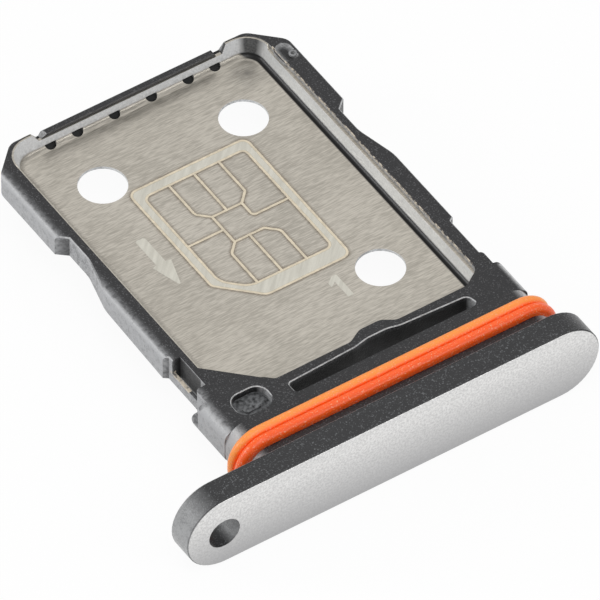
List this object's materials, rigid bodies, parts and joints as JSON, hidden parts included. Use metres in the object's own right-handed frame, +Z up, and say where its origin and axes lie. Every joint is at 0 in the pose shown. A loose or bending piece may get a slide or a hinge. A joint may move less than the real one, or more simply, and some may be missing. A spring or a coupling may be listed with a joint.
{
  "type": "sim card tray",
  "caption": "Slim card tray: steel pan in a moulded frame with guide notches, sealing ring and a round-ended cap with a release pin hole.",
  "frame": {"origin": "middle of the bounding box in plan, at the level of the cap's lower edge", "axes": "+Y from the cap towards the tray's inner end, +Z up out of the card pocket, +X to the right seen from the cap"},
  "size_m": [0.0152, 0.0168, 0.0028],
  "materials": {
    "pan_steel": "fine brushed",
    "frame_black": "fine matt grain",
    "seal_orange": "smooth silicone",
    "cap_coated": "fine silver coat on the face, black sides"
  },
  "bodies": {
    "root": {"card_pan": "pan_steel", "tray_frame": "frame_black", "seal_ring": "seal_orange", "end_cap": "cap_coated"}
  },
  "joints": []
}
